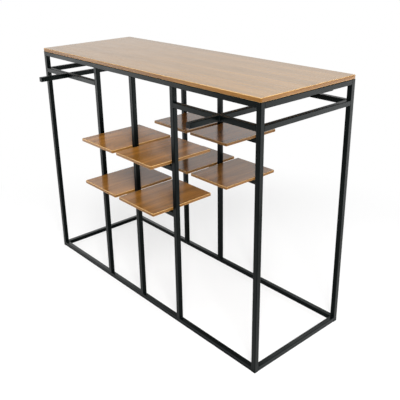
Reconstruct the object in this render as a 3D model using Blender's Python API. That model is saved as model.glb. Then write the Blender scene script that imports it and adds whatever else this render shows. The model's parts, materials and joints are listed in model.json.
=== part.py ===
"""Double-sided clothing display rack.

A welded frame of square steel tube carries a wood top board, two hanging
bars that run from front to back, and eight small shelf boards on folded
steel bearers. Front is -Y, the length runs along X, and the origin lies on
the floor under the middle of the rack. Lengths are in metres.
"""

import math

import bmesh
import bpy
from mathutils import Vector

# Frame
LENGTH = 1.400
DEPTH = 0.500
FRAME_HEIGHT = 1.030
TUBE = 0.020
TUBE_WALL = 0.0012
TUBE_RADIUS = 0.0020
FOOT_PLATE = 0.003
SHELF_POST_PITCH = 0.256

# Hanging bars and the plugs in their free ends
HOOK_GAP = 0.057
BAR_FROM_END = 0.198
ARM_REACH = 0.131
CAP_FLANGE = 0.002
CAP_EDGE = 0.0007
CAP_SPIGOT = 0.012
CAP_WALL = 0.002
CAP_CLEARANCE = 0.0003

# Top board
TOP_THICKNESS = 0.015
TOP_CORNER_RADIUS = 0.005
TOP_ARRIS = 0.0018

# Shelf boards
UPPER_SHELF_DROP = 0.308
SHELF_SPACING = 0.194
SHELF_THICKNESS = 0.012
SHELF_OVERHANG = 0.098
SHELF_MIDDLE_GAP = 0.086
SHELF_SIDE_GAP = 0.0015
SHELF_CORNER_RADIUS = 0.006
SHELF_ARRIS = 0.0018

# Folded bearer under each shelf board
BEARER_WIDTH = 0.120
BEARER_HEIGHT = 0.010
BEARER_SHEET = 0.002
BEARER_BEND = 0.002
BEARER_MARGIN = 0.030

# Screw holes
SCREW_HOLE = 0.0045
BEARER_HOLE_FROM_SIDE = 0.020
BEARER_HOLE_FROM_END = 0.025
TOP_HOLES_FROM_END = 0.110
CUTTER_OVERRUN = 0.002

# Gap kept between pieces that touch, and the least radius of an inside corner
SEAT = 0.0003
LEAST_RADIUS = 0.0003

# Facets of round forms
TUBE_CORNER_STEPS = 3
BOARD_CORNER_STEPS = 5
BEND_STEPS = 3
HOLE_SIDES = 10

# Heights and places that follow from the sizes above
BASE_RAIL_Z = TUBE / 2
TOP_RAIL_Z = FRAME_HEIGHT - TUBE / 2
CROSS_RAIL_Z = FRAME_HEIGHT - TUBE - HOOK_GAP - TUBE / 2
UPPER_SHELF_TOP = FRAME_HEIGHT - UPPER_SHELF_DROP
TIERS = {"upper": UPPER_SHELF_TOP, "lower": UPPER_SHELF_TOP - SHELF_SPACING}
CORNER_POST_X = (LENGTH - TUBE) / 2
POST_Y = (DEPTH - TUBE) / 2
LONG_RAIL_REACH = CORNER_POST_X - TUBE / 2 - SEAT
END_RAIL_REACH = POST_Y - TUBE / 2 - SEAT
BAR_X = LENGTH / 2 - BAR_FROM_END
SHELF_X = SHELF_POST_PITCH / 2
SHELF_WIDTH = SHELF_POST_PITCH - TUBE - 2 * SHELF_SIDE_GAP
SHELF_DEPTH = SHELF_OVERHANG + (DEPTH - SHELF_MIDDLE_GAP) / 2
SHELF_Y = (SHELF_MIDDLE_GAP + SHELF_DEPTH) / 2
BEARER_LENGTH = SHELF_DEPTH - 2 * BEARER_MARGIN

# Sign of X for each hand, and the turn that makes a long side built at -Y the front or the back one
HANDS = {"left": -1, "right": 1}
HANDS_TURNED = {"left": 1, "right": -1}
SIDES = {"front": (0.0, HANDS), "back": (math.pi, HANDS_TURNED)}


def clear_scene():
    for thing in list(bpy.data.objects):
        bpy.data.objects.remove(thing, do_unlink=True)


def finish(name, colour, roughness, metallic=0.0):
    """A plain surface finish: linear colour, roughness and metallic value."""
    material = bpy.data.materials.new(name)
    material.use_nodes = True
    shader = material.node_tree.nodes["Principled BSDF"]
    shader.inputs["Base Color"].default_value = (*colour, 1.0)
    shader.inputs["Roughness"].default_value = roughness
    shader.inputs["Metallic"].default_value = metallic
    return material


def arc(centre, radius, start, steps):
    """Points of a quarter circle, counter-clockwise from a start angle."""
    angles = [start + math.pi / 2 * step / steps for step in range(steps + 1)]
    return [centre + radius * Vector((math.cos(a), math.sin(a))) for a in angles]


def rounded_rectangle(width, depth, radius, steps):
    """Corner points of a rectangle with round corners, counter-clockwise."""
    points = []
    for turn, (sx, sy) in enumerate(((1, 1), (-1, 1), (-1, -1), (1, -1))):
        centre = Vector((sx * (width / 2 - radius), sy * (depth / 2 - radius)))
        points += arc(centre, radius, turn * math.pi / 2, steps)
    return points


def finished_mesh(name, form):
    """Mesh from a closed form, with its faces pointing out."""
    bmesh.ops.recalc_face_normals(form, faces=form.faces[:])
    mesh = bpy.data.meshes.new(name)
    form.to_mesh(mesh)
    form.free()
    return mesh


def loft(name, sections, through=False):
    """Mesh skinned over sections, each an outline and its height.

    The first and last sections are capped, or joined to each other where the
    form is open right through.
    """
    form = bmesh.new()
    rings = [[form.verts.new((p.x, p.y, z)) for p in outline] for outline, z in sections]
    pairs = list(zip(rings, rings[1:]))
    if through:
        pairs.append((rings[-1], rings[0]))
    else:
        form.faces.new(reversed(rings[0]))
        form.faces.new(rings[-1])
    for lower, upper in pairs:
        count = len(lower)
        for i in range(count):
            j = (i + 1) % count
            form.faces.new((lower[i], lower[j], upper[j], upper[i]))
    return finished_mesh(name, form)


def square(width, radius):
    """Outline of the tube or of a piece that fits it."""
    return rounded_rectangle(width, width, max(radius, LEAST_RADIUS), TUBE_CORNER_STEPS)


def tube_mesh(name, length, foot=0.0):
    """Square tube along Z from 0, open at both ends or closed by a foot plate."""
    outer = square(TUBE, TUBE_RADIUS)
    inner = square(TUBE - 2 * TUBE_WALL, TUBE_RADIUS - TUBE_WALL)
    sections = [(outer, 0.0), (outer, length), (inner, length), (inner, foot)]
    return loft(name, sections, through=foot == 0.0)


def board_mesh(name, width, depth, thickness, radius, arris):
    """Flat board standing on Z = 0, with round corners and eased edges."""
    face = rounded_rectangle(width - 2 * arris, depth - 2 * arris, radius - arris, BOARD_CORNER_STEPS)
    edge = rounded_rectangle(width, depth, radius, BOARD_CORNER_STEPS)
    sections = [(face, 0.0), (edge, arris), (edge, thickness - arris), (face, thickness)]
    return loft(name, sections)


def cap_mesh(name):
    """Plug for a tube end: flange outside along +Z from 0, hollow spigot below."""
    spigot = TUBE - 2 * TUBE_WALL - 2 * CAP_CLEARANCE
    spigot_radius = TUBE_RADIUS - TUBE_WALL - CAP_CLEARANCE
    hole = square(spigot - 2 * CAP_WALL, spigot_radius)
    body = square(spigot, spigot_radius)
    flange = square(TUBE, TUBE_RADIUS)
    crown = square(TUBE - 2 * CAP_EDGE, TUBE_RADIUS - CAP_EDGE)
    sections = [
        (hole, 0.0),
        (hole, -CAP_SPIGOT),
        (body, -CAP_SPIGOT),
        (body, 0.0),
        (flange, 0.0),
        (flange, CAP_FLANGE - CAP_EDGE),
        (crown, CAP_FLANGE),
    ]
    return loft(name, sections)


def bearer_outline():
    """Section of the folded bearer: a shallow channel with its open side down."""
    half = BEARER_WIDTH / 2
    outside = BEARER_BEND + BEARER_SHEET
    centre = Vector((half - outside, BEARER_HEIGHT - outside))
    right_outer = [Vector((half, 0.0))] + arc(centre, outside, 0.0, BEND_STEPS)
    right_inner = [Vector((half - BEARER_SHEET, 0.0))] + arc(centre, BEARER_BEND, 0.0, BEND_STEPS)
    left_outer = [Vector((-p.x, p.y)) for p in reversed(right_outer)]
    left_inner = [Vector((-p.x, p.y)) for p in right_inner]
    return right_outer + left_outer + left_inner + list(reversed(right_inner))


def bearer_mesh(name):
    """Folded channel along Y, centred, with its flanges standing on Z = 0."""
    form = bmesh.new()
    near = -BEARER_LENGTH / 2
    section = form.faces.new([form.verts.new((p.x, near, p.y)) for p in bearer_outline()])
    grown = bmesh.ops.extrude_face_region(form, geom=[section])
    moved = [item for item in grown["geom"] if isinstance(item, bmesh.types.BMVert)]
    bmesh.ops.translate(form, verts=moved, vec=(0.0, BEARER_LENGTH, 0.0))
    return finished_mesh(name, form)


def place(name, mesh, material, parent, location, turn=(0.0, 0.0, 0.0)):
    """Named object from a mesh, at a place and turn in its parent's frame."""
    thing = bpy.data.objects.new(name, mesh)
    bpy.context.scene.collection.objects.link(thing)
    mesh.materials.append(material)
    thing.parent = parent
    thing.location = location
    thing.rotation_euler = turn
    return thing


def group(name, parent=None, turn=0.0):
    """Empty that carries a set of pieces."""
    empty = bpy.data.objects.new(name, None)
    bpy.context.scene.collection.objects.link(empty)
    empty.parent = parent
    empty.rotation_euler = (0.0, 0.0, turn)
    return empty


def tube_between(name, start, end, parent, foot=0.0):
    """Square tube from one point to another further along one axis of its parent."""
    span = Vector(end) - Vector(start)
    along = max(range(3), key=lambda axis: abs(span[axis]))
    turns = ((0.0, math.pi / 2, 0.0), (-math.pi / 2, 0.0, 0.0), (0.0, 0.0, 0.0))
    mesh = tube_mesh(name, span.length, foot)
    return place(name, mesh, BLACK_STEEL, parent, start, turns[along])


def drill(target, points, thickness):
    """Cuts upright screw holes, each centred in the thickness that it goes through."""
    form = bmesh.new()
    for point in points:
        hole = bmesh.ops.create_cone(
            form,
            cap_ends=True,
            segments=HOLE_SIDES,
            radius1=SCREW_HOLE / 2,
            radius2=SCREW_HOLE / 2,
            depth=thickness + 2 * CUTTER_OVERRUN,
        )
        bmesh.ops.translate(form, verts=hole["verts"], vec=point)
    mesh = finished_mesh(target.name + "_holes", form)
    cutter = bpy.data.objects.new(mesh.name, mesh)
    bpy.context.scene.collection.objects.link(cutter)
    cutter.parent = target.parent
    cutter.hide_render = True
    cutter.display_type = "WIRE"
    cut = target.modifiers.new("screw_holes", "BOOLEAN")
    cut.operation = "DIFFERENCE"
    cut.solver = "EXACT"
    cut.object = cutter


def build_posts(side, frame, hands):
    """Five posts of one long side: full-height corners and three between rails."""
    for label, sign in hands.items():
        x = sign * CORNER_POST_X
        floor = (x, -POST_Y, 0.0)
        top = (x, -POST_Y, FRAME_HEIGHT)
        tube_between(f"corner_post_{side}_{label}", floor, top, frame, FOOT_PLATE)
    for label, sign in {"middle": 0, **hands}.items():
        x = sign * SHELF_POST_PITCH
        low = (x, -POST_Y, TUBE + SEAT)
        high = (x, -POST_Y, FRAME_HEIGHT - TUBE - SEAT)
        tube_between(f"shelf_post_{side}_{label}", low, high, frame)


def build_long_rails(side, frame, hands):
    """Base rail, top rail and the two short cross rails of one long side."""
    for kind, z in (("base_rail", BASE_RAIL_Z), ("top_rail", TOP_RAIL_Z)):
        start = (-LONG_RAIL_REACH, -POST_Y, z)
        end = (LONG_RAIL_REACH, -POST_Y, z)
        rail = tube_between(f"{kind}_{side}", start, end, frame)
        if kind == "top_rail":
            places = (SHELF_X, LENGTH / 2 - TOP_HOLES_FROM_END)
            holes = [(sign * x, -POST_Y, z) for x in places for sign in hands.values()]
            drill(rail, holes, TUBE)
    near = SHELF_POST_PITCH + TUBE / 2 + SEAT
    for label, sign in hands.items():
        low, high = sorted((sign * near, sign * LONG_RAIL_REACH))
        start = (low, -POST_Y, CROSS_RAIL_Z)
        end = (high, -POST_Y, CROSS_RAIL_Z)
        tube_between(f"cross_rail_{side}_{label}", start, end, frame)


def build_hanging_arms(side, frame, hands):
    """Arms that carry on the hanging bars outside the frame, with their plugs."""
    root_y = -DEPTH / 2 - SEAT
    flange_y = -DEPTH / 2 - ARM_REACH + CAP_FLANGE
    for label, sign in hands.items():
        x = sign * BAR_X
        tip = (x, flange_y + SEAT, CROSS_RAIL_Z)
        root = (x, root_y, CROSS_RAIL_Z)
        tube_between(f"hanging_arm_{side}_{label}", tip, root, frame)
        name = f"arm_cap_{side}_{label}"
        seat = (x, flange_y, CROSS_RAIL_Z)
        place(name, cap_mesh(name), BLACK_PLASTIC, frame, seat, (math.pi / 2, 0.0, 0.0))


def build_shelf(label, frame, x, top_z):
    """Rail between two shelf posts, the folded bearer on it, and the board."""
    board_z = top_z - SHELF_THICKNESS
    bearer_z = board_z - SEAT - BEARER_HEIGHT
    rail_z = bearer_z - SEAT - TUBE / 2
    reach = (SHELF_POST_PITCH - TUBE) / 2 - SEAT
    tube_between(f"shelf_rail_{label}", (x - reach, -POST_Y, rail_z), (x + reach, -POST_Y, rail_z), frame)

    name = f"shelf_bearer_{label}"
    bearer = place(name, bearer_mesh(name), BLACK_STEEL, frame, (x, -SHELF_Y, bearer_z))
    hole_x = BEARER_WIDTH / 2 - BEARER_HOLE_FROM_SIDE
    hole_y = BEARER_LENGTH / 2 - BEARER_HOLE_FROM_END
    web_z = bearer_z + BEARER_HEIGHT - BEARER_SHEET / 2
    corners = [(i, j) for i in (-1, 1) for j in (-1, 1)]
    drill(bearer, [(x + i * hole_x, -SHELF_Y + j * hole_y, web_z) for i, j in corners], BEARER_SHEET)

    name = f"shelf_board_{label}"
    board = board_mesh(name, SHELF_WIDTH, SHELF_DEPTH, SHELF_THICKNESS, SHELF_CORNER_RADIUS, SHELF_ARRIS)
    place(name, board, WOOD, frame, (x, -SHELF_Y, board_z))


def build_shelves(side, frame, hands):
    """Four shelves of one long side, in two tiers."""
    for tier, top_z in TIERS.items():
        for label, sign in hands.items():
            build_shelf(f"{side}_{tier}_{label}", frame, sign * SHELF_X, top_z)


def build_ends(frame):
    """Rails that join the two long sides at the ends, and the hanging bars."""
    levels = {"base_rail": BASE_RAIL_Z, "end_rail": CROSS_RAIL_Z, "top_rail": TOP_RAIL_Z}
    hole_y = DEPTH / 2 - TOP_HOLES_FROM_END
    for label, sign in HANDS.items():
        x = sign * CORNER_POST_X
        for kind, z in levels.items():
            start = (x, -END_RAIL_REACH, z)
            end = (x, END_RAIL_REACH, z)
            rail = tube_between(f"{kind}_{label}", start, end, frame)
            if kind == "top_rail":
                drill(rail, [(x, -hole_y, z), (x, hole_y, z)], TUBE)
        start = (sign * BAR_X, -END_RAIL_REACH, CROSS_RAIL_Z)
        end = (sign * BAR_X, END_RAIL_REACH, CROSS_RAIL_Z)
        tube_between(f"hanging_bar_{label}", start, end, frame)


def build_top_board(frame):
    name = "top_board"
    board = board_mesh(name, LENGTH, DEPTH, TOP_THICKNESS, TOP_CORNER_RADIUS, TOP_ARRIS)
    place(name, board, WOOD, frame, (0.0, 0.0, FRAME_HEIGHT + SEAT))


clear_scene()
BLACK_STEEL = finish("black_powder_coat", (0.013, 0.014, 0.015), 0.34)
BLACK_PLASTIC = finish("black_plastic", (0.022, 0.023, 0.025), 0.48)
WOOD = finish("warm_oak_laminate", (0.28, 0.13, 0.03), 0.30)

RACK = group("clothing_display_rack")
for side_name, (side_turn, side_hands) in SIDES.items():
    side_frame = group(f"{side_name}_side", RACK, side_turn)
    build_posts(side_name, side_frame, side_hands)
    build_long_rails(side_name, side_frame, side_hands)
    build_hanging_arms(side_name, side_frame, side_hands)
    build_shelves(side_name, side_frame, side_hands)
build_ends(RACK)
build_top_board(RACK)
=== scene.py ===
"""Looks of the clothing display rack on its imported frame.

The CAD tubes, bearers and plugs stay and get their finish here. The boards
are rebuilt as a laminated core with an edge band round it, and weld beads and
screws are added. Lengths are in metres, in the frame of the CAD model: front
is -Y, the length runs along X and the floor is at Z = 0.
"""

import json
import math

import bmesh
import bpy
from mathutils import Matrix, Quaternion, Vector

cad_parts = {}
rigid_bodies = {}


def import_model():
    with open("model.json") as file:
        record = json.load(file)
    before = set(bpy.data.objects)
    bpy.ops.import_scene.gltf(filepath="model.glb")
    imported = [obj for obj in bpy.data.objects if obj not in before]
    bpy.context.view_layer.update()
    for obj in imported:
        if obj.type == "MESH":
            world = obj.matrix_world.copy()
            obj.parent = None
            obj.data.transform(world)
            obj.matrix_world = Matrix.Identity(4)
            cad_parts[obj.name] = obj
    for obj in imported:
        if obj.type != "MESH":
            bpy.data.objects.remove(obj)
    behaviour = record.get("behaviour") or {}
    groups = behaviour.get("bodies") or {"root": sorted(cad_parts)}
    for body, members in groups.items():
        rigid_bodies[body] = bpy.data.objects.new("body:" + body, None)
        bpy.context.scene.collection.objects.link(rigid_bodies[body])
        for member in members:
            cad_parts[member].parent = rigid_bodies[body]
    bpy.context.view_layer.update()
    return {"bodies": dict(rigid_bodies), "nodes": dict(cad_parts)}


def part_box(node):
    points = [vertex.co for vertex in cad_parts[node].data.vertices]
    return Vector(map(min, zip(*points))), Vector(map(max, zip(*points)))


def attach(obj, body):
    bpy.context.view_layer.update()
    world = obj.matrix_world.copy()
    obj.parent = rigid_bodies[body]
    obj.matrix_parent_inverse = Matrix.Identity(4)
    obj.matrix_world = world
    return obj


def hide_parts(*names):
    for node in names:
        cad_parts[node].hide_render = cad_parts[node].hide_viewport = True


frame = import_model()
NODES = frame["nodes"]
BODY = "root"

# Names that make up the nodes' names
SIDES = ("front", "back")
HANDS = ("left", "right")
TIERS = ("upper", "lower")
SHELF_POSTS = ("left", "middle", "right")
SHELF_PLACES = [f"{side}_{tier}_{hand}" for side in SIDES for tier in TIERS for hand in HANDS]

# Axes by number
X_AXIS, Y_AXIS, Z_AXIS = 0, 1, 2

# Boards: the band round the core, its round arris and the seam beside it
BAND = 0.0018
ARRIS = 0.0018
ARRIS_STEPS = 5
SEAM = 0.0001
SEAM_CHAMFER = 0.00015
TOP_CORNER_RADIUS = 0.005
SHELF_CORNER_RADIUS = 0.006
LEAST_CORNER_RADIUS = 0.0001
CORNER_STEPS = 10
MERGE_DISTANCE = 1e-7

# Degrees between two faces above which their edge is shown sharp
SHARP_ANGLE = 35.0
CORE_SHARP_ANGLE = 20.0

# Weld beads. The shares are of the leg: the ripple's height, the thin ends and the throat.
BEAD_LEG = 0.0026
BEAD_SINK = 0.0005
BEAD_MARGIN = 0.0015
BEAD_RIPPLE = 0.0016
BEAD_RIPPLE_SHARE = 0.10
BEAD_END_SHARE = 0.35
BEAD_THROAT_SHARE = 0.62
BEAD_STEPS = 36
BEAD_ARC_STEPS = 5

# Pan-head screws with a cross recess. The head's side is given in shares of its radius and height,
# the recess floor as a share of the recess's outline.
SCREW_HEAD_RADIUS = 0.0042
SCREW_HEAD_HEIGHT = 0.0024
SCREW_HEAD_SIDE = ((1.0, 0.0), (1.0, 0.35), (0.92, 0.68), (0.76, 0.90), (0.60, 1.0))
SCREW_RECESS_DEPTH = 0.0015
SCREW_RECESS_FLOOR = 0.72
SCREW_ARM = 0.0021
SCREW_ARM_HALF_WIDTH = 0.00055
SCREW_SHANK_RADIUS = 0.0018
SHELF_SCREW_BITE = 0.008
TOP_SCREW_BITE = 0.030
BEARER_SHEET = 0.002
BEARER_HOLE_FROM_SIDE = 0.020
BEARER_HOLE_FROM_END = 0.025
TOP_HOLES_FROM_END = 0.110

# The range that most noise falls in, and the full range of a mix
NOISE_SPREAD = (0.3, 0.7)
FULL = (0.0, 1.0)

# Radius that the powder coat shows on the tubes' edges
COAT_EDGE_RADIUS = 0.0012

# Wood-grain laminate: features per metre along and across the grain
PLANK_GRAIN = (0.5, 15.0)
FLAME_GRAIN = (1.1, 12.0)
FIBRE_GRAIN = (7.0, 260.0)
PORE_GRAIN = (38.0, 1100.0)
# Growth lines are a wave over the flame pattern, so many radians for a flame value of one. The shades
# are factors on the laminate's colours, the strengths the most that streaks and pores are mixed in.
RING_RADIANS = 44.0
RING_SHADE = 0.5
STREAK_SHADE = 1.15
STREAK_STRENGTH = 0.40
PORE_SHADE = 0.38
PORE_STRENGTH = 0.55
PORE_ROUGHNESS = 0.15
FIBRE_RELIEF = 0.5
# The two laminates, as wood_laminate takes them
TOP_LAMINATE = {"axis": X_AXIS, "dark": (0.206, 0.106, 0.0215), "light": (0.286, 0.149, 0.0355),
                "figure": 0.20, "sheen": (0.24, 0.10)}
SHELF_LAMINATE = {"axis": Y_AXIS, "dark": (0.165, 0.069, 0.012), "light": (0.315, 0.136, 0.026),
                  "figure": 0.34, "sheen": (0.21, 0.15)}

# Camera fitted to the photograph: where it stands, the point it looks at, roll, lens in mm and shift
CAMERA_PLACE = (1.9235, -1.5856, 1.4931)
CAMERA_AIM = (0.0949, 0.0, 0.5680)
CAMERA_ROLL = math.radians(-1.03)
CAMERA_LENS = 53.66
CAMERA_SHIFT = (0.01198, -0.06973)

# Studio floor and surround. The lift is the share of white that the floor shows beside its shading,
# and it grows to all white between the two distances of the fade.
FLOOR_RADIUS = 60.0
FLOOR_SEGMENTS = 96
FLOOR_COLOUR = (0.90, 0.90, 0.90)
FLOOR_LIFT = 0.66
FLOOR_FADE = (0.8, 1.7)
SURROUND_LIGHT = 0.22

# Lamps: place, point aimed at, width, height, power in watts, and what they act on, which is matt
# light, gloss or both. Those for gloss are only seen as reflections.
LAMPS = {
    "key_softbox": ((2.62, -1.85, 2.6), (0.0, 0.0, 0.7), 1.2, 1.2, 176.0, "matt"),
    "overhead_softbox": ((-0.2, -0.5, 3.4), (0.0, -0.1, 0.9), 2.4, 2.4, 37.0, "both"),
    "left_softbox": ((-1.457, -1.2415, 0.55), (0.028, -0.2415, 0.5), 1.1, 1.1, 18.3, "both"),
    "left_high_panel": ((-1.475, -1.193, 0.80), (0.01, -0.193, 0.80), 1.2, 0.6, 6.5, "gloss"),
    "left_low_panel": ((-0.80, 0.35, 0.32), (0.5, 0.35, 0.32), 1.1, 0.56, 6.6, "gloss"),
    "right_softbox": ((1.55, 1.0, 0.45), (0.5, 0.0, 0.45), 1.2, 0.9, 20.0, "both"),
    "right_high_panel": ((1.364, 1.181, 0.675), (0.314, 0.181, 0.675), 0.68, 0.45, 2.3, "gloss"),
    "back_softbox": ((-3.0, 4.73, 4.35), (0.69, 0.0, 0.02), 1.6, 1.0, 60.0, "gloss"),
    "front_floor_panel": ((-0.4, -0.7535, 0.002), (-0.4, -0.7535, 1.0), 2.2, 0.993, 8.95, "gloss"),
    "right_floor_panel": ((0.9755, 0.51, 0.002), (0.9755, 0.51, 1.0), 0.549, 1.52, 5.2, "gloss"),
}


def clear_startup_objects():
    """Removes what Blender's own start-up scene holds, so that only the frame is left."""
    kept = set(NODES.values()) | set(frame["bodies"].values())
    for thing in [o for o in bpy.data.objects if o not in kept]:
        bpy.data.objects.remove(thing, do_unlink=True)


# Node trees

def empty_tree(owner):
    """The node tree of a new material or world, with nothing in it."""
    owner.use_nodes = True
    owner.node_tree.nodes.clear()
    return owner.node_tree


def add_node(tree, kind, inputs=None, **settings):
    """A shader node with its settings, and its inputs set or linked by name or number."""
    node = tree.nodes.new("ShaderNode" + kind)
    for key, value in settings.items():
        setattr(node, key, value)
    for key, value in (inputs or {}).items():
        if isinstance(value, bpy.types.NodeSocket):
            tree.links.new(value, node.inputs[key])
        else:
            node.inputs[key].default_value = value
    return node


def new_material(name, **sockets):
    """A material with one Principled shader, whose constant sockets are given by name."""
    material = bpy.data.materials.new(name)
    tree = empty_tree(material)
    constants = {key.replace("_", " "): value for key, value in sockets.items()}
    shader = add_node(tree, "BsdfPrincipled", constants)
    add_node(tree, "OutputMaterial", {"Surface": shader.outputs["BSDF"]})
    return material, tree, shader


def connect(tree, shader, colour, roughness, normal):
    """Links a Principled shader to the outputs that vary over the surface."""
    for name, value in (("Base Color", colour), ("Roughness", roughness), ("Normal", normal)):
        tree.links.new(value, shader.inputs[name])


def even_scale(features):
    """The same number of features per metre along every axis."""
    return (features, features, features)


def grain_scale(axis, along, across):
    """Features per metre for grain that runs along one axis."""
    return tuple(along if i == axis else across for i in range(3))


def noise(tree, scale, detail, roughness=0.5, distortion=0.0):
    """Noise whose features per metre are given for each axis."""
    place = add_node(tree, "TexCoord").outputs["Object"]
    stretched = add_node(tree, "Mapping", {"Vector": place, "Scale": scale}).outputs["Vector"]
    inputs = {"Vector": stretched, "Scale": 1.0, "Detail": detail, "Roughness": roughness,
              "Distortion": distortion}
    return add_node(tree, "TexNoise", inputs).outputs["Fac"]


def remap(tree, value, old, new):
    """value carried smoothly from the range old to the range new."""
    inputs = {"Value": value, "From Min": old[0], "From Max": old[1], "To Min": new[0], "To Max": new[1]}
    return add_node(tree, "MapRange", inputs, interpolation_type="SMOOTHSTEP").outputs["Result"]


def mix_colour(tree, factor, first, second):
    """first and second blended by factor. Each is a linear colour or an output."""
    node = add_node(tree, "Mix", data_type="RGBA")
    colours = [s for s in node.inputs if s.type == "RGBA"]
    for socket, value in zip(colours, (first, second)):
        if isinstance(value, bpy.types.NodeSocket):
            tree.links.new(value, socket)
        else:
            socket.default_value = (*value, 1.0)
    tree.links.new(factor, node.inputs["Factor"])
    return next(s for s in node.outputs if s.type == "RGBA")


def calculate(tree, operation, *values, clamp=False):
    """One sum on one or two numbers or outputs."""
    inputs = dict(enumerate(values))
    return add_node(tree, "Math", inputs, operation=operation, use_clamp=clamp).outputs[0]


def bump(tree, height, distance, strength, normal=None):
    """A normal bumped by a height output, distance metres for a height of one."""
    inputs = {"Height": height, "Distance": distance, "Strength": strength}
    if normal is not None:
        inputs["Normal"] = normal
    return add_node(tree, "Bump", inputs).outputs["Normal"]


def shade(colour, factor):
    """A colour made lighter or darker by a factor."""
    return tuple(factor * part for part in colour)


# Materials

def powder_coat():
    """Black powder coat: orange peel, a slow drift in gloss, and a thinner, greyer film on the edges."""
    film_dark, film_light = (0.0006, 0.0013, 0.0012), (0.0012, 0.0021, 0.0020)
    film_on_edge = (0.007, 0.008, 0.009)
    material, tree, shader = new_material("powder_coat", IOR=1.5, Specular_IOR_Level=0.04,
                                          Specular_Tint=(0.88, 1.0, 0.99, 1.0))
    drift = noise(tree, even_scale(9.0), detail=3.0)
    peel = noise(tree, even_scale(420.0), detail=2.0)
    grit = noise(tree, even_scale(1900.0), detail=1.0)
    round_normal = add_node(tree, "Bevel", {"Radius": COAT_EDGE_RADIUS}, samples=4).outputs["Normal"]
    flat_normal = add_node(tree, "NewGeometry").outputs["Normal"]
    facing = add_node(tree, "VectorMath", {0: round_normal, 1: flat_normal}, operation="DOT_PRODUCT")
    edge = remap(tree, facing.outputs["Value"], (0.995, 0.86), FULL)
    film = mix_colour(tree, remap(tree, drift, (0.35, 0.65), FULL), film_dark, film_light)
    worn = calculate(tree, "MULTIPLY", edge, remap(tree, peel, (0.35, 0.6), (0.25, 1.0)))
    colour = mix_colour(tree, worn, film, film_on_edge)
    roughness = calculate(tree, "ADD", remap(tree, drift, NOISE_SPREAD, (0.25, 0.34)),
                          remap(tree, grit, NOISE_SPREAD, (-0.02, 0.05)))
    relief = calculate(tree, "ADD", peel, calculate(tree, "MULTIPLY", grit, 0.35))
    normal = bump(tree, relief, distance=0.00010, strength=0.5, normal=round_normal)
    connect(tree, shader, colour, roughness, normal)
    return material


def plug_plastic():
    """Black moulded plastic with a fine spark-eroded grain."""
    dark, light = (0.0022, 0.0026, 0.0028), (0.0042, 0.0048, 0.0052)
    material, tree, shader = new_material("plug_plastic", IOR=1.46, Specular_IOR_Level=0.05)
    grain = noise(tree, even_scale(2600.0), detail=2.0)
    cloud = noise(tree, even_scale(160.0), detail=2.0)
    colour = mix_colour(tree, cloud, dark, light)
    roughness = remap(tree, grain, NOISE_SPREAD, (0.42, 0.58))
    connect(tree, shader, colour, roughness, bump(tree, grain, distance=0.00006, strength=0.6))
    return material


def wood_laminate(name, axis, dark, light, figure, sheen):
    """Warm brown wood-grain laminate under a satin lacquer, its grain along one axis.

    dark and light are the colours it drifts between, figure the strength of the dark growth lines and
    sheen its roughness on the dark and on the light fibres.
    """
    material, tree, shader = new_material(name, IOR=1.5, Specular_IOR_Level=0.46)
    plank = noise(tree, grain_scale(axis, *PLANK_GRAIN), detail=2.0, roughness=0.55)
    flame = noise(tree, grain_scale(axis, *FLAME_GRAIN), detail=2.0, roughness=0.45, distortion=0.5)
    rings = calculate(tree, "SINE", calculate(tree, "MULTIPLY", flame, RING_RADIANS))
    fibre = noise(tree, grain_scale(axis, *FIBRE_GRAIN), detail=3.0, roughness=0.6)
    pore = noise(tree, grain_scale(axis, *PORE_GRAIN), detail=1.0)
    body = mix_colour(tree, remap(tree, plank, (0.34, 0.66), FULL), dark, light)
    ring_mix = remap(tree, rings, (0.1, 1.0), (0.0, figure))
    ringed = mix_colour(tree, ring_mix, body, shade(dark, RING_SHADE))
    streaks = remap(tree, fibre, (0.38, 0.68), (0.0, STREAK_STRENGTH))
    streaked = mix_colour(tree, streaks, ringed, shade(light, STREAK_SHADE))
    pores = remap(tree, pore, (0.60, 0.72), (0.0, PORE_STRENGTH))
    colour = mix_colour(tree, pores, streaked, shade(dark, PORE_SHADE))
    roughness = calculate(tree, "ADD", remap(tree, fibre, NOISE_SPREAD, sheen),
                          calculate(tree, "MULTIPLY", pores, PORE_ROUGHNESS))
    relief = calculate(tree, "SUBTRACT", calculate(tree, "MULTIPLY", fibre, FIBRE_RELIEF), pores)
    connect(tree, shader, colour, roughness, bump(tree, relief, distance=0.00004, strength=0.6))
    return material


def edge_band():
    """Amber edge band with fine lines that follow the edge, and a painted highlight in a paler colour on
    the rounded arris.
    """
    dark, light = (0.148, 0.065, 0.014), (0.216, 0.100, 0.023)
    # The pale arris colour is a painted highlight, not a colour of the band itself.
    line_colour, arris_highlight_colour = (0.104, 0.043, 0.009), (0.640, 0.410, 0.180)
    material, tree, shader = new_material("edge_band", IOR=1.5, Specular_IOR_Level=0.08)
    lines = noise(tree, (7.0, 7.0, 900.0), detail=2.5, roughness=0.6)
    drift = noise(tree, (3.0, 3.0, 40.0), detail=2.0)
    body = mix_colour(tree, remap(tree, drift, NOISE_SPREAD, FULL), dark, light)
    lined = mix_colour(tree, remap(tree, lines, (0.42, 0.66), (0.0, 0.5)), body, line_colour)
    normal = add_node(tree, "NewGeometry").outputs["Normal"]
    upright = calculate(tree, "ABSOLUTE", add_node(tree, "SeparateXYZ", {0: normal}).outputs["Z"])
    # Painted highlight: the pale arris colour is mixed in where the normal is neither upright nor flat, on
    # the rounded arris.
    arris = remap(tree, upright, (0.15, 0.75), (0.0, 0.85))
    colour = mix_colour(tree, arris, lined, arris_highlight_colour)
    roughness = remap(tree, lines, NOISE_SPREAD, (0.30, 0.42))
    connect(tree, shader, colour, roughness, bump(tree, lines, distance=0.00004, strength=0.5))
    return material


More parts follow.
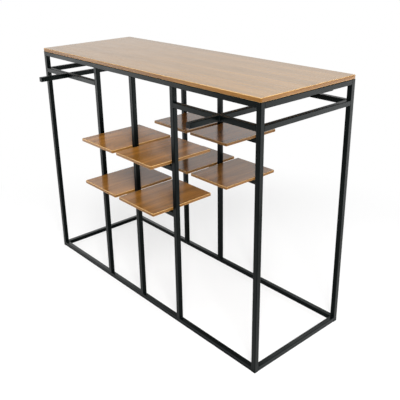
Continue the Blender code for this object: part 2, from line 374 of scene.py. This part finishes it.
def screw_steel():
    """Blackened steel of the screws, with fine turning marks."""
    dark, light = (0.030, 0.031, 0.033), (0.075, 0.076, 0.080)
    material, tree, shader = new_material("screw_steel", Metallic=0.85)
    marks = noise(tree, (900.0, 900.0, 5200.0), detail=2.0)
    stain = noise(tree, even_scale(240.0), detail=2.0)
    colour = mix_colour(tree, stain, dark, light)
    roughness = remap(tree, marks, NOISE_SPREAD, (0.30, 0.48))
    connect(tree, shader, colour, roughness, bump(tree, marks, distance=0.00003, strength=0.5))
    return material


# Mesh pieces

def add_piece(name, shape, material, sharp_angle=SHARP_ANGLE):
    """Turns a bmesh into a named piece that rides on the frame and takes the given material as its finish.
    """
    bmesh.ops.recalc_face_normals(shape, faces=shape.faces)
    mesh = bpy.data.meshes.new(name)
    shape.to_mesh(mesh)
    shape.free()
    mesh.polygons.foreach_set("use_smooth", [True] * len(mesh.polygons))
    mesh.set_sharp_from_angle(angle=math.radians(sharp_angle))
    mesh.materials.append(material)
    piece = bpy.data.objects.new(name, mesh)
    bpy.context.scene.collection.objects.link(piece)
    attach(piece, BODY)
    return piece


def join_rings(shape, rings, close=False):
    """Faces between neighbouring rings of vertices, and between the last and the first if close is set.

    Without close, the first and the last ring are filled.
    """
    pairs = list(zip(rings, rings[1:]))
    if close:
        pairs.append((rings[-1], rings[0]))
    for low, high in pairs:
        for i in range(len(low)):
            j = (i + 1) % len(low)
            shape.faces.new((low[i], low[j], high[j], high[i]))
    if not close:
        shape.faces.new(rings[0])
        shape.faces.new(rings[-1])


def rounded_ring(shape, low, high, inset, height, radius):
    """A ring of vertices round a box seen from above, inset from its sides, with round corners."""
    middle = (low + high) / 2
    half = (high - low) / 2
    turn = max(radius - inset, LEAST_CORNER_RADIUS)
    ring = []
    for quarter, (sx, sy) in enumerate(((1, 1), (-1, 1), (-1, -1), (1, -1))):
        x = middle.x + sx * (half.x - inset - turn)
        y = middle.y + sy * (half.y - inset - turn)
        for step in range(CORNER_STEPS + 1):
            angle = math.pi / 2 * (quarter + step / CORNER_STEPS)
            ring.append(shape.verts.new((x + turn * math.cos(angle), y + turn * math.sin(angle), height)))
    return ring


def board_core(node, radius, material):
    """The laminated core of a board: flat faces, with a fine chamfer where they meet the band."""
    low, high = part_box(node)
    side = BAND + SEAM
    profile = ((side + SEAM_CHAMFER, low.z), (side, low.z + SEAM_CHAMFER),
               (side, high.z - SEAM_CHAMFER), (side + SEAM_CHAMFER, high.z))
    shape = bmesh.new()
    rings = [rounded_ring(shape, low, high, inset, height, radius) for inset, height in profile]
    join_rings(shape, rings)
    core = add_piece(node + "_core", shape, material, CORE_SHARP_ANGLE)
    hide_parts(node)


def board_band(node, radius, material):
    """The edge band round a board, its two outer arrises rounded."""
    low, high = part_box(node)
    profile = [(BAND, high.z), (BAND, low.z)]
    angles = [math.pi / 2 * step / ARRIS_STEPS for step in range(ARRIS_STEPS + 1)]
    for angle in angles:
        profile.append((ARRIS * (1 - math.sin(angle)), low.z + ARRIS * (1 - math.cos(angle))))
    for angle in angles:
        profile.append((ARRIS * (1 - math.cos(angle)), high.z - ARRIS * (1 - math.sin(angle))))
    # Where an arris as wide as the band meets the band's inner side, a point comes twice
    profile = [point for i, point in enumerate(profile) if point not in profile[:i]]
    shape = bmesh.new()
    rings = [rounded_ring(shape, low, high, inset, height, radius) for inset, height in profile]
    join_rings(shape, rings, close=True)
    bmesh.ops.remove_doubles(shape, verts=shape.verts, dist=MERGE_DISTANCE)
    add_piece(node + "_band", shape, material)


def build_boards(top_wood, shelf_wood, band):
    """Every board as a core with its edge band."""
    board_core("top_board", TOP_CORNER_RADIUS, top_wood)
    board_band("top_board", TOP_CORNER_RADIUS, band)
    for place in SHELF_PLACES:
        board_core("shelf_board_" + place, SHELF_CORNER_RADIUS, shelf_wood)
        board_band("shelf_board_" + place, SHELF_CORNER_RADIUS, band)


def axis_vector(axis, length):
    """A vector of the given length along one axis."""
    vector = Vector((0.0, 0.0, 0.0))
    vector[axis] = length
    return vector


def add_bead(shape, start, end, along_tube, along_plate):
    """A rippled weld bead in the corner line from start to end, its two legs along the given directions."""
    rings = []
    length = (end - start).length
    for step in range(BEAD_STEPS + 1):
        at = length * step / BEAD_STEPS
        taper = min(1.0, BEAD_END_SHARE + min(at, length - at) / BEAD_LEG)
        ripple = 1.0 + BEAD_RIPPLE_SHARE * math.cos(2 * math.pi * at / BEAD_RIPPLE)
        leg = BEAD_LEG * taper * ripple
        spot = start + (end - start) * (step / BEAD_STEPS)
        corners = [(-BEAD_SINK, -BEAD_SINK), (leg, -BEAD_SINK)]
        for turn in range(BEAD_ARC_STEPS + 1):
            angle = math.pi / 2 * turn / BEAD_ARC_STEPS
            swell = leg * (BEAD_THROAT_SHARE + (1 - BEAD_THROAT_SHARE) * abs(math.cos(2 * angle)))
            corners.append((swell * math.cos(angle), swell * math.sin(angle)))
        corners.append((-BEAD_SINK, leg))
        rings.append([shape.verts.new(spot + along_tube * a + along_plate * b) for a, b in corners])
    join_rings(shape, rings)


def weld_tube_end(shape, node, axis, sign, faces, reach=None):
    """Beads where the end of a tube meets a flat face, on the tube's given (axis, sign) faces.

    reach limits the beads to a range along their own line, where the tube is wider than what it meets.
    """
    low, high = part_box(node)
    ends = (low, high)
    for face_axis, face_sign in faces:
        line_axis = X_AXIS + Y_AXIS + Z_AXIS - axis - face_axis
        span = reach or (low[line_axis], high[line_axis])
        start = Vector((0.0, 0.0, 0.0))
        start[axis] = ends[sign > 0][axis]
        start[face_axis] = ends[face_sign > 0][face_axis]
        end = start.copy()
        start[line_axis] = span[0] + BEAD_MARGIN
        end[line_axis] = span[1] - BEAD_MARGIN
        add_bead(shape, start, end, axis_vector(axis, -sign), axis_vector(face_axis, face_sign))


def weld_both_ends(shape, node, axis, faces):
    """Beads at both ends of a tube that runs along an axis."""
    for sign in (-1, 1):
        weld_tube_end(shape, node, axis, sign, faces)


def build_welds(material):
    """Beads along the joints of the frame, in one piece for each group of joints."""
    above, below = [(Z_AXIS, 1)], [(Z_AXIS, -1)]
    beside = [(X_AXIS, -1), (X_AXIS, 1)]

    shape = bmesh.new()
    for place in SIDES + HANDS:
        axis = X_AXIS if place in SIDES else Y_AXIS
        weld_both_ends(shape, "base_rail_" + place, axis, above)
        weld_both_ends(shape, "top_rail_" + place, axis, below)
    add_piece("welds_base_and_top", shape, material)

    shape = bmesh.new()
    for side in SIDES:
        for post in SHELF_POSTS:
            weld_both_ends(shape, f"shelf_post_{side}_{post}", Z_AXIS, beside)
    add_piece("welds_shelf_posts", shape, material)

    shape = bmesh.new()
    for hand in HANDS:
        weld_both_ends(shape, "end_rail_" + hand, Y_AXIS, above + below)
        weld_both_ends(shape, "hanging_bar_" + hand, Y_AXIS, beside)
        for side, inner_end in zip(SIDES, (1, -1)):
            weld_both_ends(shape, f"cross_rail_{side}_{hand}", X_AXIS, above + below)
            weld_tube_end(shape, f"hanging_arm_{side}_{hand}", Y_AXIS, inner_end, beside)
    add_piece("welds_hanging_rails", shape, material)

    shape = bmesh.new()
    for place in SHELF_PLACES:
        rail_low, rail_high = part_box("shelf_rail_" + place)
        weld_both_ends(shape, "shelf_rail_" + place, X_AXIS, above + below)
        weld_tube_end(shape, "shelf_bearer_" + place, Z_AXIS, -1, beside, (rail_low.y, rail_high.y))
    add_piece("welds_shelf_rails", shape, material)


def cross_outline():
    """The outline of a screw's cross recess, five points to each arm."""
    a, w = SCREW_ARM, SCREW_ARM_HALF_WIDTH
    quarter = ((a, -w), (a, w), ((a + w) / 2, w), (w, w), (w, (a + w) / 2))
    points = []
    for turn in range(4):
        for x, y in quarter:
            for _ in range(turn):
                x, y = -y, x
            points.append((x, y))
    return points


def add_screw(shape, place, bite):
    """A pan-head screw driven upwards by bite, the underside of its head at place."""
    cross = cross_outline()
    lead = math.atan2(cross[0][1], cross[0][0])
    angles = [lead + 2 * math.pi * i / len(cross) for i in range(len(cross))]
    profile = [(SCREW_SHANK_RADIUS, bite), (SCREW_SHANK_RADIUS, 0.0)]
    for across, down in SCREW_HEAD_SIDE:
        profile.append((across * SCREW_HEAD_RADIUS, -down * SCREW_HEAD_HEIGHT))
    outlines = [([(radius * math.cos(a), radius * math.sin(a)) for a in angles], height)
                for radius, height in profile]
    outlines.append((cross, -SCREW_HEAD_HEIGHT))
    recess_floor = [(SCREW_RECESS_FLOOR * x, SCREW_RECESS_FLOOR * y) for x, y in cross]
    outlines.append((recess_floor, SCREW_RECESS_DEPTH - SCREW_HEAD_HEIGHT))
    join_rings(shape, [[shape.verts.new(place + Vector((x, y, height))) for x, y in outline]
                       for outline, height in outlines])


def build_screws(material):
    """The screws that hold the boards: four under each shelf board and twelve under the top board."""
    shape = bmesh.new()
    top_low, top_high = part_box("top_board")
    shelf_low, shelf_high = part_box("shelf_board_front_upper_right")
    inner = (shelf_low.x + shelf_high.x) / 2
    reach = (top_high.x - top_low.x) / 2 - TOP_HOLES_FROM_END
    for side in SIDES:
        low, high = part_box("top_rail_" + side)
        for x in (-reach, -inner, inner, reach):
            add_screw(shape, Vector((x, (low.y + high.y) / 2, low.z)), TOP_SCREW_BITE)
    reach = (top_high.y - top_low.y) / 2 - TOP_HOLES_FROM_END
    for hand in HANDS:
        low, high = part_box("top_rail_" + hand)
        for y in (-reach, reach):
            add_screw(shape, Vector(((low.x + high.x) / 2, y, low.z)), TOP_SCREW_BITE)
    add_piece("screws_top_board", shape, material)

    shape = bmesh.new()
    for place in SHELF_PLACES:
        low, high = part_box("shelf_bearer_" + place)
        for x in (low.x + BEARER_HOLE_FROM_SIDE, high.x - BEARER_HOLE_FROM_SIDE):
            for y in (low.y + BEARER_HOLE_FROM_END, high.y - BEARER_HOLE_FROM_END):
                add_screw(shape, Vector((x, y, high.z - BEARER_SHEET)), SHELF_SCREW_BITE)
    add_piece("screws_shelf_boards", shape, material)


def finish_nodes(coat, plastic):
    """Gives the CAD tubes, bearers and plugs their finish."""
    for name, node in NODES.items():
        if "board" not in name:
            node.material_slots[0].material = plastic if name.startswith("arm_cap") else coat


# Studio

def seen_ray(tree):
    """1 for rays that show the surround itself: from the camera, in a reflection or through glass."""
    path = add_node(tree, "LightPath").outputs
    shown = calculate(tree, "ADD", path["Is Camera Ray"], path["Is Glossy Ray"], clamp=True)
    return calculate(tree, "ADD", shown, path["Is Transmission Ray"], clamp=True)


def floor_material():
    """Pale floor that keeps the shadow near the rack and fades into the white surround further out."""
    material = bpy.data.materials.new("studio_floor")
    tree = empty_tree(material)
    place = add_node(tree, "TexCoord").outputs["Object"]
    distance = add_node(tree, "VectorMath", {0: place}, operation="LENGTH").outputs["Value"]
    lift = remap(tree, distance, FLOOR_FADE, (FLOOR_LIFT, 1.0))
    paint = add_node(tree, "BsdfDiffuse", {"Color": (*FLOOR_COLOUR, 1.0)})
    white = add_node(tree, "Emission", {"Strength": 1.0})
    factor = calculate(tree, "MULTIPLY", seen_ray(tree), lift)
    surface = add_node(tree, "MixShader", {0: factor, 1: paint.outputs[0], 2: white.outputs[0]})
    add_node(tree, "OutputMaterial", {"Surface": surface.outputs[0]})
    return material


def build_floor():
    """A wide round floor under the rack."""
    mesh = bpy.data.meshes.new("studio_floor")
    shape = bmesh.new()
    bmesh.ops.create_circle(shape, cap_ends=True, radius=FLOOR_RADIUS, segments=FLOOR_SEGMENTS)
    shape.to_mesh(mesh)
    shape.free()
    mesh.materials.append(floor_material())
    floor = bpy.data.objects.new("studio_floor", mesh)
    bpy.context.scene.collection.objects.link(floor)


def build_surround():
    """A white surround to look at, which lights the rack at a lower level."""
    world = bpy.data.worlds.new("studio_surround")
    tree = empty_tree(world)
    strength = remap(tree, seen_ray(tree), FULL, (SURROUND_LIGHT, 1.0))
    shell = add_node(tree, "Background", {"Color": (1.0, 1.0, 1.0, 1.0), "Strength": strength})
    add_node(tree, "OutputWorld", {"Surface": shell.outputs[0]})
    bpy.context.scene.world = world


def aim(thing, place, target):
    """Puts a lamp or camera at a place and turns it to a target."""
    thing.location = place
    thing.rotation_mode = "QUATERNION"
    thing.rotation_quaternion = (Vector(target) - Vector(place)).to_track_quat("-Z", "Y")


def build_lamps():
    """The lamps, which the camera itself doesn't see."""
    for name, (place, target, width, height, power, acts_on) in LAMPS.items():
        light = bpy.data.lights.new(name, "AREA")
        light.shape = "RECTANGLE"
        light.size = width
        light.size_y = height
        light.energy = power
        lamp = bpy.data.objects.new(name, light)
        lamp.visible_camera = False
        lamp.visible_diffuse = acts_on != "gloss"
        lamp.visible_glossy = acts_on != "matt"
        aim(lamp, place, target)
        bpy.context.scene.collection.objects.link(lamp)


def build_camera():
    """The camera at the photograph's viewing angle."""
    data = bpy.data.cameras.new("photo_camera")
    data.lens = CAMERA_LENS
    data.shift_x, data.shift_y = CAMERA_SHIFT
    camera = bpy.data.objects.new("photo_camera", data)
    aim(camera, CAMERA_PLACE, CAMERA_AIM)
    camera.rotation_quaternion = camera.rotation_quaternion @ Quaternion((0.0, 0.0, 1.0), CAMERA_ROLL)
    bpy.context.scene.collection.objects.link(camera)
    bpy.context.scene.camera = camera


clear_startup_objects()
bpy.context.scene.view_settings.view_transform = "Standard"
coat = powder_coat()
finish_nodes(coat, plug_plastic())
build_boards(wood_laminate("top_laminate", **TOP_LAMINATE),
             wood_laminate("shelf_laminate", **SHELF_LAMINATE), edge_band())
build_welds(coat)
build_screws(screw_steel())
build_floor()
build_surround()
build_lamps()
build_camera()
